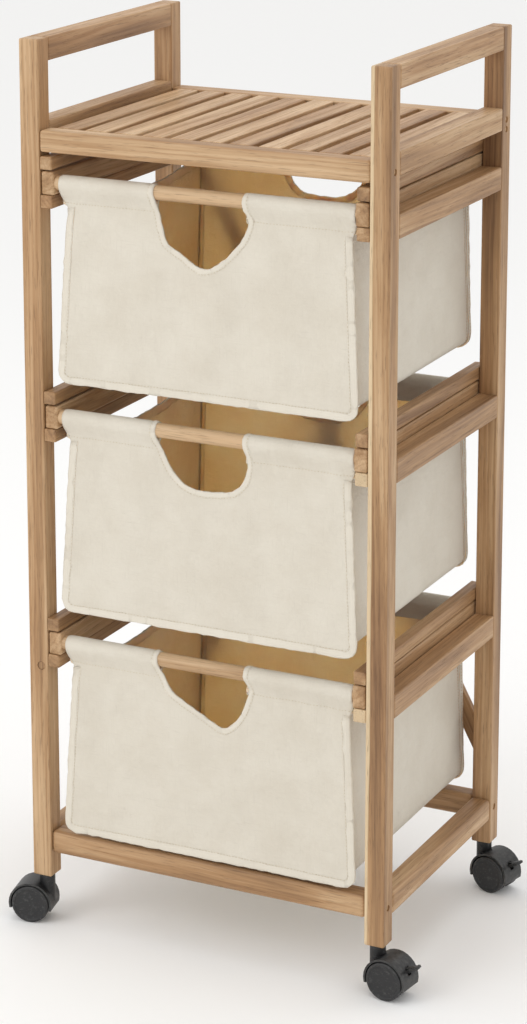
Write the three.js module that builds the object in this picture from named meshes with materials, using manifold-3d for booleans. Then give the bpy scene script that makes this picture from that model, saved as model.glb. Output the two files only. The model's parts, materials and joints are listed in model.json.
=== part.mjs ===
// A laundry sorter on wheels: a hardwood frame with a slatted shelf on top, three cloth bags that hang on
// dowels between pull-out bars, a crossed brace at the back and four twin-wheel swivel castors.
// Millimetres. +Z is up, +X is to the right and the bags pull out towards -Y.
// The origin is on the floor, below the middle of the frame.
import * as THREE from "three";
import { mergeVertices } from "three/addons/utils/BufferGeometryUtils.js";
import Module from "manifold-3d";

const wasm = await Module();
wasm.setup();

// ---- Frame ----
const overallWidth = 420; // across the outer faces of the posts
const overallDepth = 316; // from the posts' front faces to their back faces
const postHeight = 925;
const postSection = 22.5; // posts are square, and the rails between them are as thick
const castorHeight = 55; // from the floor to the bottom of a post
const timberRound = 1.4; // worn edge of every timber
const roundSegments = 1;
const jointGap = 0.2; // glued or bolted end of a rail to a post

const handleRailHeight = 25;
const shelfDrop = 94.5; // from the top of the posts down to the slats
const shelfRailHeight = 23; // front and back rails of the shelf
const shelfSideRailHeight = 24.5;
const shelfSideRise = 7.5; // the shelf's side rails stand this far above the slats
const bottomRailClearance = 28; // from the bottom of a post up to the bottom rails
const bottomRailHeight = 26;
const bottomRailRound = 6; // soft outer edge of the bottom rails
const bottomFrontSetback = 2;

const slatCount = 11;
const slatGap = 8.7;
const slatThickness = 12;
const battenWidth = 20;
const battenThickness = 10.5;
const battenOffset = 68; // from the middle of the shelf to each hidden batten
const battenBite = 0.5; // how far a batten is let into the slats

// ---- Runners, one set for each bag ----
const levelNames = ["top", "middle", "bottom"];
const runnerShelfGap = 4.3; // between the shelf's rails and the first upper runners
const runnerWidth = 14;
const runnerHeight = 14;
const runnerPlay = 1.8; // free height above a drawer bar
const slidingGap = 0.3; // between a drawer bar and the runner that carries it
const sideRailHeight = 25;
const sideRailRise = 12; // the side rails' tops stand this far above the lower runners' tops

// ---- Drawers: two bars joined by two dowels, with a bag hung on the dowels ----
const barWidth = 14.5;
const barHeight = 24.7;
const barSidePlay = 1.3; // between a bar and the posts beside it
const barEndInset = 1; // a bar is this much shorter than the frame at each end
const dowelRadius = 7.75;
const dowelEdge = 1.75; // wood left between a dowel and a bar's end
const dowelSocketDepth = 8;
const dowelGap = 0.25;
const dowelSides = 16;
const bagSideGap = 4; // between the bag and the bars
const bagFloorGap = 30; // between a bag's bottom and the sleeves of the bag below it
const lastBagGap = 5; // between the lowest bag and the bottom rails
const bagWall = 2.4;
const sleeveGap = 0.5;
const sleeveWall = 1.8;
const gussetDrop = 18; // the side panels start this far below the dowels' middle
const bagTopRound = 1.4;
const bagCornerRound = 14;
const cutOutWidth = 104;
const cutOutDepth = 60; // below the dowel's middle

// ---- Back brace: two crossing strips on the back faces of the posts ----
const braceWidth = 21;
const braceThickness = 8;
const braceLowHeight = 85; // above the bottom of the posts, on the posts' middle lines
const braceHighDrop = 108; // below the top of the posts
const braceEndInset = 8;
const lapGap = 0.3;

// ---- Castors ----
const wheelRadius = 21;
const wheelHalfWidth = 16.8; // outer face of a wheel from the castor's middle plane
const wheelInnerHalf = 5.5;
const wheelChamfer = 1.6;
const wheelDish = 0.9; // how deep a wheel's outer face is dished
const wheelRim = 4.5;
const axleRadius = 3;
const axleGap = 0.3;
const trail = 16; // from the swivel axis to the axle
const webHalfWidth = 4.5;
const wheelGap = 1.2; // between a wheel's tread and the hood
const hoodWall = 2.3;
const hoodHalfWidth = 15.5;
const hoodSkirt = 6; // how far the hood reaches below the axle
const axleBossRadius = 8;
const collarRadius = 8.5;
const collarGap = 0.3;
const stemRadius = 4;
const stemLength = 28;
const stemGap = 0.3;
const roundSides = 28;

const leverPivotDepth = 5.8; // the lever's pivot lies this far inside the hood's surface
const leverPivotAngle = 34; // degrees above level, seen from the axle
const leverAngle = 25; // degrees above level, along the trail
const leverReach = 19;
const leverPadGap = 2; // between the hood and the foot pad
const leverPadHalfWidth = 6;
const leverThickness = 3;
const leverHalfWidth = 2.7;
const leverBossRadius = 3.6;
const leverPinRadius = 1.4;
const leverGap = 0.4;
const leverTravel = 18; // degrees

// ---- Sizes that follow ----
const halfWidth = overallWidth / 2;
const halfDepth = overallDepth / 2;
const postTop = castorHeight + postHeight;
const innerHalfWidth = halfWidth - postSection;
const innerHalfDepth = halfDepth - postSection;
const postX = halfWidth - postSection / 2;
const postY = halfDepth - postSection / 2;
const shelfTop = postTop - shelfDrop;
const shelfBottom = shelfTop - Math.max(shelfRailHeight, slatThickness + battenThickness - battenBite);
const bottomRailLow = castorHeight + bottomRailClearance;
const bottomRailTop = bottomRailLow + bottomRailHeight;
const upperRunnerRise = slidingGap + barHeight + runnerPlay; // from a lower runner up to the one above it
const firstRunnerTop = shelfBottom - runnerShelfGap - runnerHeight - upperRunnerRise;
const sleeveRadius = dowelRadius + sleeveGap + sleeveWall;
const firstBarCentreZ = firstRunnerTop + slidingGap + barHeight / 2;
const bagSpace = firstBarCentreZ - bottomRailTop - lastBagGap + sleeveRadius + bagFloorGap;
const levelPitch = bagSpace / levelNames.length;
const bagDrop = levelPitch - sleeveRadius - bagFloorGap; // from a dowel's middle to the bag's bottom
const runnerTop = (level) => firstRunnerTop - level * levelPitch;
const barCentreZ = (level) => firstBarCentreZ - level * levelPitch;
const barLength = overallDepth - 2 * barEndInset;
const dowelInset = dowelRadius + dowelEdge;
const barCentreX = innerHalfWidth - barSidePlay - barWidth / 2;
const dowelY = barLength / 2 - dowelInset;
const clearHalfWidth = barCentreX - barWidth / 2;
const axleHeight = wheelRadius;
const wellRadius = wheelRadius + wheelGap;
const hoodRadius = wellRadius + hoodWall;
const leverPivotRadius = hoodRadius - leverPivotDepth;
const leverPivot = [
  leverPivotRadius * Math.cos(THREE.MathUtils.degToRad(leverPivotAngle)),
  leverPivotRadius * Math.sin(THREE.MathUtils.degToRad(leverPivotAngle)),
]; // from the axle, along the trail and up
const leverPadStart = leverPivotDepth + leverPadGap;

const wood = new THREE.MeshStandardMaterial({ color: 0xc69c6d, roughness: 0.55, metalness: 0 });
const cloth = new THREE.MeshStandardMaterial({ color: 0xe6dfce, roughness: 0.9, metalness: 0 });
const blackPlastic = new THREE.MeshStandardMaterial({ color: 0x1c1c1e, roughness: 0.4, metalness: 0 });

const sorter = new THREE.Group();
const sides = [["left", -1], ["right", 1]];
const ends = [["front", -1], ["back", 1]];

// ---- Solids and placing ----
function solidOf(geometry) {
  const bare = geometry.clone();
  bare.deleteAttribute("normal");
  bare.deleteAttribute("uv");
  const merged = mergeVertices(bare, 1e-4);
  return new wasm.Manifold(
    new wasm.Mesh({
      numProp: 3,
      vertProperties: merged.attributes.position.array,
      triVerts: new Uint32Array(merged.index.array),
    }),
  );
}

function geometryOf(solid) {
  const mesh = solid.getMesh();
  const shared = new THREE.BufferGeometry();
  shared.setAttribute("position", new THREE.BufferAttribute(mesh.vertProperties, 3));
  shared.setIndex(new THREE.BufferAttribute(mesh.triVerts, 1));
  const flat = shared.toNonIndexed();
  flat.computeVertexNormals();
  return flat;
}

const joined = (...geometries) => geometries.map(solidOf).reduce((sum, next) => sum.add(next));
const cutBy = (solid, ...tools) => tools.map(solidOf).reduce((rest, tool) => rest.subtract(tool), solid);

function place(name, geometry, material, position, turn = 0) {
  const mesh = new THREE.Mesh(geometry, material);
  mesh.name = name;
  mesh.position.set(...position);
  mesh.rotation.z = turn;
  sorter.add(mesh);
}

// A rectangle about the origin, each corner rounded by its own radius: ++, -+, -- and +-.
function roundedRectangle(width, height, radii) {
  const corners = [[1, 1], [-1, 1], [-1, -1], [1, -1]];
  const shape = new THREE.Shape();
  corners.forEach(([sx, sy], quarter) => {
    const radius = radii[quarter];
    const start = (quarter * Math.PI) / 2;
    const x = sx * (width / 2 - radius);
    const y = sy * (height / 2 - radius);
    shape.absarc(x, y, radius, start, start + Math.PI / 2);
  });
  return shape;
}

// An outline pushed along an axis, centred on the origin. Its two directions follow the axis in turn:
// y and z for "x", z and x for "y", x and y for "z".
function along(axis, shape, length) {
  const unit = { x: new THREE.Vector3(1, 0, 0), y: new THREE.Vector3(0, 1, 0), z: new THREE.Vector3(0, 0, 1) };
  const [u, v, w] = { x: ["y", "z", "x"], y: ["z", "x", "y"], z: ["x", "y", "z"] }[axis];
  const settings = { depth: length, bevelEnabled: false, curveSegments: roundSegments };
  const geometry = new THREE.ExtrudeGeometry(shape, settings);
  geometry.translate(0, 0, -length / 2);
  return geometry.applyMatrix4(new THREE.Matrix4().makeBasis(unit[u], unit[v], unit[w]));
}

// A straight timber of size [x, y, z], centred on the origin, with its long edges rounded.
function timber(axis, [x, y, z], radii = Array(4).fill(timberRound)) {
  const [width, height, length] = { x: [y, z, x], y: [z, x, y], z: [x, y, z] }[axis];
  return along(axis, roundedRectangle(width, height, radii), length);
}

function rod(axis, radius, length, sidesRound = roundSides) {
  const geometry = new THREE.CylinderGeometry(radius, radius, length, sidesRound);
  if (axis === "x") geometry.rotateZ(-Math.PI / 2);
  if (axis === "z") geometry.rotateX(Math.PI / 2);
  return geometry;
}

const block = (x, y, z) => new THREE.BoxGeometry(x, y, z);

// ---- Posts, each with a socket for a castor's stem ----
function buildPosts() {
  const socketDepth = stemLength + stemGap;
  const socket = rod("z", stemRadius + stemGap, 2 * socketDepth, 16).translate(0, 0, -postHeight / 2);
  const post = geometryOf(cutBy(solidOf(timber("z", [postSection, postSection, postHeight])), socket));
  for (const [end, sy] of ends) {
    for (const [side, sx] of sides) {
      place(`post_${end}_${side}`, post, wood, [sx * postX, sy * postY, castorHeight + postHeight / 2]);
    }
  }
}

// A rail between a front and a back post, from its low face to its top face.
function addSideRail(name, sx, low, high, outerTopRound = timberRound) {
  const length = 2 * (innerHalfDepth - jointGap);
  const radii = sx > 0
    ? [outerTopRound, timberRound, timberRound, timberRound]
    : [timberRound, timberRound, timberRound, outerTopRound];
  const size = [postSection, length, high - low];
  place(name, timber("y", size, radii), wood, [sx * postX, 0, (low + high) / 2]);
}

// A rail between the left and the right posts. The outer top edge is at +Y on the back rails.
function addCrossRail(name, sy, y, low, high, outerTopRound) {
  const length = 2 * (innerHalfWidth - jointGap);
  const radii = sy > 0
    ? [outerTopRound, timberRound, timberRound, timberRound]
    : [timberRound, outerTopRound, timberRound, timberRound];
  place(name, timber("x", [length, postSection, high - low], radii), wood, [0, y, (low + high) / 2]);
}

function buildRails() {
  const shelfSideTop = shelfTop + shelfSideRise;
  for (const [side, sx] of sides) {
    addSideRail(`handle_rail_${side}`, sx, postTop - handleRailHeight, postTop);
    addSideRail(`shelf_side_rail_${side}`, sx, shelfSideTop - shelfSideRailHeight, shelfSideTop);
    addSideRail(`bottom_side_rail_${side}`, sx, bottomRailLow, bottomRailTop, bottomRailRound);
    levelNames.forEach((level, index) => {
      const top = runnerTop(index) + sideRailRise;
      addSideRail(`side_rail_${level}_${side}`, sx, top - sideRailHeight, top);
    });
  }
  for (const [end, sy] of ends) {
    addCrossRail(`shelf_${end}_rail`, sy, sy * postY, shelfTop - shelfRailHeight, shelfTop, 2 * timberRound);
    const setback = sy < 0 ? bottomFrontSetback : 0;
    const y = sy * postY + setback;
    addCrossRail(`bottom_${end}_rail`, sy, y, bottomRailLow, bottomRailTop, bottomRailRound);
  }
}

// ---- Shelf slats, joined by two battens below them ----
function buildSlats() {
  const slatWidth = (2 * innerHalfWidth - (slatCount + 1) * slatGap) / slatCount;
  const slatLength = 2 * (innerHalfDepth - jointGap);
  const first = -innerHalfWidth + slatGap + slatWidth / 2;
  const slats = Array.from({ length: slatCount }, (_, index) =>
    timber("y", [slatWidth, slatLength, slatThickness]).translate(first + index * (slatWidth + slatGap), 0, 0),
  );
  const battenZ = -slatThickness / 2 - battenThickness / 2 + battenBite;
  const battenLength = 2 * (innerHalfWidth - jointGap);
  const battens = [-1, 1].map((sy) =>
    block(battenLength, battenWidth, battenThickness).translate(0, sy * battenOffset, battenZ),
  );
  const panel = joined(...battens, ...slats);
  place("shelf_slats", geometryOf(panel), wood, [0, 0, shelfTop - slatThickness / 2]);
}

// ---- Runners: a drawer bar slides between an upper and a lower one ----
function buildRunners() {
  const x = innerHalfWidth - jointGap - runnerWidth / 2;
  const runner = timber("y", [runnerWidth, overallDepth, runnerHeight]);
  for (const [side, sx] of sides) {
    levelNames.forEach((level, index) => {
      const lowerZ = runnerTop(index) - runnerHeight / 2;
      const upperZ = lowerZ + runnerHeight + upperRunnerRise;
      place(`runner_upper_${level}_${side}`, runner, wood, [sx * x, 0, upperZ]);
      place(`runner_lower_${level}_${side}`, runner, wood, [sx * x, 0, lowerZ]);
    });
  }
}

// ---- Drawer bars and dowels ----
function buildDrawerFrames() {
  const socketLength = 2 * dowelSocketDepth;
  const dowelLength = 2 * (clearHalfWidth + dowelSocketDepth - dowelGap);
  const dowel = rod("x", dowelRadius, dowelLength, dowelSides);
  const socket = rod("x", dowelRadius + dowelGap, socketLength, dowelSides);
  for (const [side, sx] of sides) {
    const sockets = [-1, 1].map((sy) => socket.clone().translate((-sx * barWidth) / 2, sy * dowelY, 0));
    const bar = geometryOf(cutBy(solidOf(timber("y", [barWidth, barLength, barHeight])), ...sockets));
    levelNames.forEach((level, index) => {
      place(`${level}_drawer_bar_${side}`, bar, wood, [sx * barCentreX, 0, barCentreZ(index)]);
    });
  }
  for (const [end, sy] of ends) {
    levelNames.forEach((level, index) => {
      place(`${level}_drawer_dowel_${end}`, dowel, wood, [0, sy * dowelY, barCentreZ(index)]);
    });
  }
}

// ---- Bags: an open box of cloth with a sleeve over each dowel and a hand cut-out in front and back ----
function bagGeometry() {
  const bagHalfWidth = clearHalfWidth - bagSideGap;
  const panelHalf = bagWall / 2;
  const boreRadius = dowelRadius + sleeveGap;
  const round = [bagTopRound, bagTopRound, bagCornerRound, bagCornerRound];
  const innerRound = [bagTopRound, bagTopRound, bagCornerRound - bagWall, bagCornerRound - bagWall];
  const outerShape = flipped(roundedRectangle(2 * bagHalfWidth, bagDrop, round), 4);
  const outer = along("y", outerShape, 2 * (dowelY + panelHalf)).translate(0, 0, -bagDrop / 2);
  const innerSize = [2 * (bagHalfWidth - bagWall), 2 * (bagDrop - bagWall)];
  const inner = along("y", flipped(roundedRectangle(...innerSize, innerRound), 4), 2 * (dowelY - panelHalf));
  const gussetCut = block(2 * bagHalfWidth + 2, 2 * (dowelY - panelHalf), 2 * gussetDrop);
  const overDowels = (radius, length) =>
    [-1, 1].map((sy) => rod("x", radius, length, dowelSides).translate(0, sy * dowelY, 0));
  const sleeves = overDowels(sleeveRadius, 2 * bagHalfWidth);
  const bores = overDowels(boreRadius, 2 * bagHalfWidth + 2);
  const shell = cutBy(solidOf(outer), inner, gussetCut);
  const withSleeves = sleeves.map(solidOf).reduce((sum, sleeve) => sum.add(sleeve), shell);
  return geometryOf(cutBy(withSleeves, ...bores, along("y", flipped(cutOutShape(), 12), 4 * halfDepth)));
}

// The hand cut-out: straight sides from above the sleeve down to a half circle.
function cutOutShape() {
  const radius = cutOutWidth / 2;
  const arcCentre = radius - cutOutDepth;
  const top = 2 * sleeveRadius;
  const shape = new THREE.Shape();
  shape.moveTo(radius, top);
  shape.lineTo(-radius, top);
  shape.absarc(0, arcCentre, radius, Math.PI, 2 * Math.PI);
  return shape;
}

// An outline drawn with x across and z up, turned for along("y"), whose first direction is z.
function flipped(shape, segments) {
  const points = shape.getPoints(segments).map(({ x, y }) => new THREE.Vector2(y, x));
  return new THREE.Shape(points.reverse());
}

function buildBags() {
  const bag = bagGeometry();
  levelNames.forEach((level, index) => place(`${level}_bag`, bag, cloth, [0, 0, barCentreZ(index)]));
}

// ---- Back brace: two crossing strips, halved into each other where they meet ----
function braceStrip(slope, width, thickness) {
  const halfSpan = halfWidth - braceEndInset;
  const run = 2 * postX;
  const rise = postHeight - braceLowHeight - braceHighDrop;
  const angle = Math.atan2(rise, run);
  const halfHeight = width / 2 / Math.cos(angle);
  const endRise = halfSpan * Math.tan(angle) * slope;
  const corners = [
    [-halfSpan, -endRise - halfHeight],
    [halfSpan, endRise - halfHeight],
    [halfSpan, endRise + halfHeight],
    [-halfSpan, -endRise + halfHeight],
  ];
  const shape = new THREE.Shape(corners.map(([x, z]) => new THREE.Vector2(x, z)));
  const geometry = new THREE.ExtrudeGeometry(shape, { depth: thickness, bevelEnabled: false });
  return geometry.rotateX(Math.PI / 2).translate(0, thickness, 0);
}

function buildBrace() {
  const middleZ = castorHeight + (braceLowHeight + postHeight - braceHighDrop) / 2;
  const lapDepth = braceThickness / 2 + lapGap / 2;
  const position = [0, halfDepth + jointGap, middleZ];
  for (const [name, slope, lapStart] of [["rising", 1, lapDepth - lapGap], ["falling", -1, 0]]) {
    const notch = braceStrip(-slope, braceWidth + 2 * lapGap, lapDepth).translate(0, lapStart, 0);
    const strip = cutBy(solidOf(braceStrip(slope, braceWidth, braceThickness)), notch);
    place(`back_brace_${name}`, geometryOf(strip), wood, position);
  }
}

// ---- Castors. Local frame: the swivel axis is Z, the floor is z = 0 and the wheels trail towards +X ----
function leverOutline(pivotRadius, halfThickness, reach, fromAngle, toAngle) {
  const shape = new THREE.Shape();
  const [px, pz] = leverPivot;
  const edge = (angle, distance, offset) => {
    const a = THREE.MathUtils.degToRad(angle);
    return [
      px + distance * Math.cos(a) - offset * Math.sin(a),
      pz + distance * Math.sin(a) + offset * Math.cos(a),
    ];
  };
  const startAngle = THREE.MathUtils.degToRad(fromAngle + 90);
  const endAngle = THREE.MathUtils.degToRad(toAngle + 270);
  shape.moveTo(...edge(toAngle, reach, -halfThickness));
  shape.lineTo(...edge(fromAngle, reach, halfThickness));
  shape.absarc(px, pz, pivotRadius, startAngle, endAngle);
  return shape;
}

// Pushes an outline of x and z across the castor, from -halfWidth to +halfWidth in y.
function across(shape, halfSpan) {
  const settings = { depth: 2 * halfSpan, bevelEnabled: false, curveSegments: 8 };
  return new THREE.ExtrudeGeometry(shape, settings).rotateX(Math.PI / 2).translate(0, halfSpan, 0);
}

function castorHousingGeometry(hasBrake) {
  const skirtZ = axleHeight - hoodSkirt;
  const belowSkirt = block(4 * hoodRadius, 4 * hoodHalfWidth, 2 * hoodRadius);
  belowSkirt.translate(trail, 0, skirtZ - hoodRadius);
  const hoodBlank = rod("y", hoodRadius, 2 * hoodHalfWidth).translate(trail, 0, axleHeight);
  const hood = cutBy(solidOf(hoodBlank), belowSkirt);
  const collarTop = castorHeight - collarGap;
  const collarLength = collarTop - axleHeight;
  const collar = rod("z", collarRadius, collarLength, 24).translate(0, 0, collarTop - collarLength / 2);
  const stemBottom = collarTop - 1;
  const stemTop = castorHeight + stemLength;
  const stem = rod("z", stemRadius, stemTop - stemBottom, 16).translate(0, 0, (stemTop + stemBottom) / 2);
  const boss = rod("y", axleBossRadius, 2 * webHalfWidth, 24).translate(trail, 0, axleHeight);
  const wellWidth = 2 * hoodHalfWidth;
  const wells = [-1, 1].map((sy) =>
    rod("y", wellRadius, wellWidth).translate(trail, sy * (webHalfWidth + wellWidth / 2), axleHeight),
  );
  const bore = rod("y", axleRadius + axleGap, 4 * webHalfWidth, 20).translate(trail, 0, axleHeight);
  const whole = hood.add(joined(collar, stem));
  const cuts = [...wells, bore];
  if (hasBrake) {
    const slot = leverOutline(
      leverBossRadius + leverGap,
      leverThickness / 2 + leverGap,
      2 * leverReach,
      leverAngle,
      leverAngle - leverTravel,
    );
    const pinHole = rod("y", leverPinRadius + leverGap / 2, 4 * webHalfWidth, 12);
    cuts.push(across(slot, leverHalfWidth + leverGap).translate(trail, 0, axleHeight));
    cuts.push(pinHole.translate(trail + leverPivot[0], 0, axleHeight + leverPivot[1]));
  }
  return geometryOf(cutBy(whole, ...cuts).add(cutBy(solidOf(boss), bore)));
}

// Two wheels on one axle, as a single turned profile of radius and distance from the middle plane.
function castorWheelsGeometry() {
  const half = [
    [axleRadius, wheelInnerHalf],
    [wheelRadius - wheelChamfer, wheelInnerHalf],
    [wheelRadius, wheelInnerHalf + wheelChamfer],
    [wheelRadius, wheelHalfWidth - wheelChamfer],
    [wheelRadius - wheelChamfer, wheelHalfWidth],
    [wheelRadius - wheelRim, wheelHalfWidth],
    [wheelRadius - wheelRim - wheelDish, wheelHalfWidth - wheelDish],
    [0, wheelHalfWidth - wheelDish],
  ];
  const mirrored = half.map(([radius, y]) => [radius, -y]).reverse();
  const profile = [...mirrored, ...half].map(([radius, y]) => new THREE.Vector2(radius, y));
  return new THREE.LatheGeometry(profile, roundSides);
}

// The brake lever: a boss on a cross pin in the web, an arm out of the hood and a foot pad on its end.
function brakeLeverGeometry() {
  const [px, pz] = leverPivot;
  const arm = across(
    leverOutline(leverBossRadius, leverThickness / 2, leverReach, leverAngle, leverAngle),
    leverHalfWidth,
  );
  const pin = rod("y", leverPinRadius, 2 * webHalfWidth, 12).translate(px, 0, pz);
  const padLength = leverReach - leverPadStart;
  const pad = timber("y", [padLength, 2 * leverPadHalfWidth, leverThickness], Array(4).fill(1));
  pad.translate(leverPadStart + padLength / 2, 0, 0);
  pad.rotateY(-THREE.MathUtils.degToRad(leverAngle)).translate(px, 0, pz);
  return geometryOf(joined(arm, pin, pad)).translate(trail, 0, axleHeight);
}

// Where each castor stands at rest: its post, the way it trails in degrees from +X, and its brake.
const castors = [
  ["front_left", -1, -1, 192, false],
  ["front_right", 1, -1, -7, true],
  ["back_left", -1, 1, 170, false],
  ["back_right", 1, 1, -13, true],
];

function buildCastors() {
  const wheels = castorWheelsGeometry().translate(trail, 0, axleHeight);
  const housings = new Map([false, true].map((brake) => [brake, castorHousingGeometry(brake)]));
  const lever = brakeLeverGeometry();
  for (const [name, sx, sy, degrees, brake] of castors) {
    const position = [sx * postX, sy * postY, 0];
    const turn = THREE.MathUtils.degToRad(degrees);
    place(`castor_housing_${name}`, housings.get(brake), blackPlastic, position, turn);
    place(`castor_wheels_${name}`, wheels, blackPlastic, position, turn);
    if (brake) place(`brake_lever_${name}`, lever, blackPlastic, position, turn);
  }
}

buildPosts();
buildRails();
buildSlats();
buildRunners();
buildDrawerFrames();
buildBags();
buildBrace();
buildCastors();

export default sorter;
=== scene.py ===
"""Looks of a laundry sorter on wheels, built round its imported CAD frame. Metres, +Z up, the front is -Y."""

import json
import math
import random

import bmesh
import bpy
import numpy as np
from mathutils import Matrix, Vector, geometry, noise
from mathutils.bvhtree import BVHTree


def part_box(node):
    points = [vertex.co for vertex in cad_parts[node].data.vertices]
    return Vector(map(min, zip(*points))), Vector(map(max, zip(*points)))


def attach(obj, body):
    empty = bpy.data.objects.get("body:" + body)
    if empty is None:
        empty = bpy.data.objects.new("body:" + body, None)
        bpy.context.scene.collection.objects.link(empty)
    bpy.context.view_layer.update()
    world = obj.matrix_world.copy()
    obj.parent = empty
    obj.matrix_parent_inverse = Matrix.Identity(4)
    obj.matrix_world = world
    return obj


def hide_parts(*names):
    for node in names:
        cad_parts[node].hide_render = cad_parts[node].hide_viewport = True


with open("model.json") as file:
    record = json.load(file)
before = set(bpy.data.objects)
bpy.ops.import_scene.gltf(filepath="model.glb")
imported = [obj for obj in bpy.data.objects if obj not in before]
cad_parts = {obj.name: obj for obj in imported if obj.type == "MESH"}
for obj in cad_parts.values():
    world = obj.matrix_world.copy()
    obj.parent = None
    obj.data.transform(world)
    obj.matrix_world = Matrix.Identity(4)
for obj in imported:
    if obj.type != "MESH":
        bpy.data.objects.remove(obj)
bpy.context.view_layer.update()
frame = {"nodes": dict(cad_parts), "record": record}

LEVELS = ("top", "middle", "bottom")
CASTORS = ("front_left", "front_right", "back_left", "back_right")
SIDES = ("left", "right")
ENDS = (("front", -1), ("back", 1))

scene = bpy.context.scene
scene.view_settings.view_transform = "Standard"


# ---- Camera, light and floor ----
FLOOR_HALF = 9


def add_camera():
    data = bpy.data.cameras.new("camera")
    data.lens = 105.48
    data.sensor_width = 36
    data.shift_y = -0.25
    data.clip_end = 30
    data.clip_start = 0.05
    data.dof.use_dof = False
    camera = bpy.data.objects.new("camera", data)
    camera.location = (1.3682, -2.7913, 1.4486)
    camera.rotation_euler = (math.radians(90 - 12.86), 0, math.radians(26.22))
    scene.collection.objects.link(camera)
    scene.camera = camera


def add_area(name, place, target, size, power):
    data = bpy.data.lights.new(name, "AREA")
    data.shape = "RECTANGLE"
    data.size, data.size_y = size
    data.energy = power
    light = bpy.data.objects.new(name, data)
    light.location = place
    light.rotation_euler = (Vector(target) - Vector(place)).to_track_quat("-Z", "Y").to_euler()
    scene.collection.objects.link(light)


def add_floor():
    """A plain pale floor that reaches far past the object."""
    mesh = bmesh.new()
    bmesh.ops.create_grid(mesh, x_segments=8, y_segments=8, size=FLOOR_HALF)
    data = bpy.data.meshes.new("floor")
    mesh.to_mesh(data)
    mesh.free()
    floor = bpy.data.objects.new("floor", data)
    scene.collection.objects.link(floor)
    material, _, _, shader = new_material("floor_pale")
    shader.inputs["Base Color"].default_value = (0.99, 0.99, 0.988, 1)
    shader.inputs["Roughness"].default_value = 0.9
    shader.inputs["Specular IOR Level"].default_value = 0.1
    data.materials.append(material)


def add_light():
    world = bpy.data.worlds.new("studio")
    scene.world = world
    world.use_nodes = True
    background = world.node_tree.nodes["Background"]
    background.inputs["Color"].default_value = (1, 0.995, 0.985, 1)
    background.inputs["Strength"].default_value = 0.9
    add_area("key", (-1.6, -2.6, 2.3), (0, 0, 0.5), (1.8, 1.8), 22)
    add_area("over", (0.0, 0.3, 2.8), (0, 0, 0.4), (1.8, 1.8), 8)


# ---- Materials ----
def new_material(name):
    material = bpy.data.materials.new(name)
    material.use_nodes = True
    tree = material.node_tree
    return material, tree.nodes, tree.links, tree.nodes["Principled BSDF"]


class Tree:
    """Short calls that add and join shader nodes of one material."""

    def __init__(self, name):
        self.material, self.nodes, self.links, self.shader = new_material(name)

    def put(self, socket, value):
        if hasattr(value, "is_output"):
            self.links.new(value, socket)
        else:
            socket.default_value = value

    def add(self, kind, inputs=None, **settings):
        node = self.nodes.new(kind)
        for key, value in settings.items():
            setattr(node, key, value)
        for key, value in (inputs or {}).items():
            self.put(node.inputs[key], value)
        return node

    def attribute(self, name, output="Vector"):
        return self.add("ShaderNodeAttribute", attribute_name=name).outputs[output]

    def maths(self, operation, a, b=0.0):
        return self.add("ShaderNodeMath", {0: a, 1: b}, operation=operation).outputs[0]

    def plus(self, a, b):
        return self.maths("ADD", a, b)

    def times(self, a, b):
        return self.maths("MULTIPLY", a, b)

    def vector(self, operation, a, b=(0, 0, 0)):
        return self.add("ShaderNodeVectorMath", {0: a, 1: b}, operation=operation).outputs[0]

    def scaled(self, a, factors):
        return self.vector("MULTIPLY", a, factors)

    def noise(self, at, scales, detail, roughness=0.5):
        inputs = {"Vector": self.scaled(at, scales), "Scale": 1.0, "Detail": detail, "Roughness": roughness}
        return self.add("ShaderNodeTexNoise", inputs).outputs

    def mottle(self, at, scales, detail, roughness=0.5):
        """Noise as a single number about 0.5."""
        return self.noise(at, scales, detail, roughness)["Fac"]

    def smooth(self, value, low, high, to_low=0.0, to_high=1.0):
        inputs = {"Value": value, "From Min": low, "From Max": high, "To Min": to_low, "To Max": to_high}
        return self.add("ShaderNodeMapRange", inputs, interpolation_type="SMOOTHSTEP").outputs["Result"]

    def mix(self, factor, a, b, blend="MIX"):
        node = self.add("ShaderNodeMix", data_type="RGBA", blend_type=blend)
        for socket, value in ((0, factor), (6, a), (7, b)):
            self.put(node.inputs[socket], value)
        return node.outputs[2]

    def ramp(self, value, stops):
        node = self.add("ShaderNodeValToRGB", {"Fac": value})
        elements = node.color_ramp.elements
        while len(elements) < len(stops):
            elements.new(0.5)
        for element, (position, colour) in zip(elements, stops):
            element.position = position
            element.color = (*colour, 1)
        return node.outputs["Color"]

    def bump(self, height, distance, strength=1.0, normal=None):
        inputs = {"Height": height, "Distance": distance, "Strength": strength}
        if normal is not None:
            inputs["Normal"] = normal
        return self.add("ShaderNodeBump", inputs).outputs["Normal"]

    def finish(self, colour, roughness, normal=None, **fixed):
        self.put(self.shader.inputs["Base Color"], colour)
        self.put(self.shader.inputs["Roughness"], roughness)
        if normal is not None:
            self.links.new(normal, self.shader.inputs["Normal"])
        for key, value in fixed.items():
            self.shader.inputs[key.replace("_", " ")].default_value = value


def srgb(*screen):
    """A screen colour from 0 to 255 as linear light."""
    parts = [c / 255 for c in screen]
    return tuple(c / 12.92 if c <= 0.04045 else ((c + 0.055) / 1.055) ** 2.4 for c in parts)


def toned(colour, factor):
    """The colour made darker or lighter, with its alpha."""
    return (*[min(1, c * factor) for c in colour], 1)


RING_SPACING = 0.0056
THREAD_PITCH = 0.00105


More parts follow.
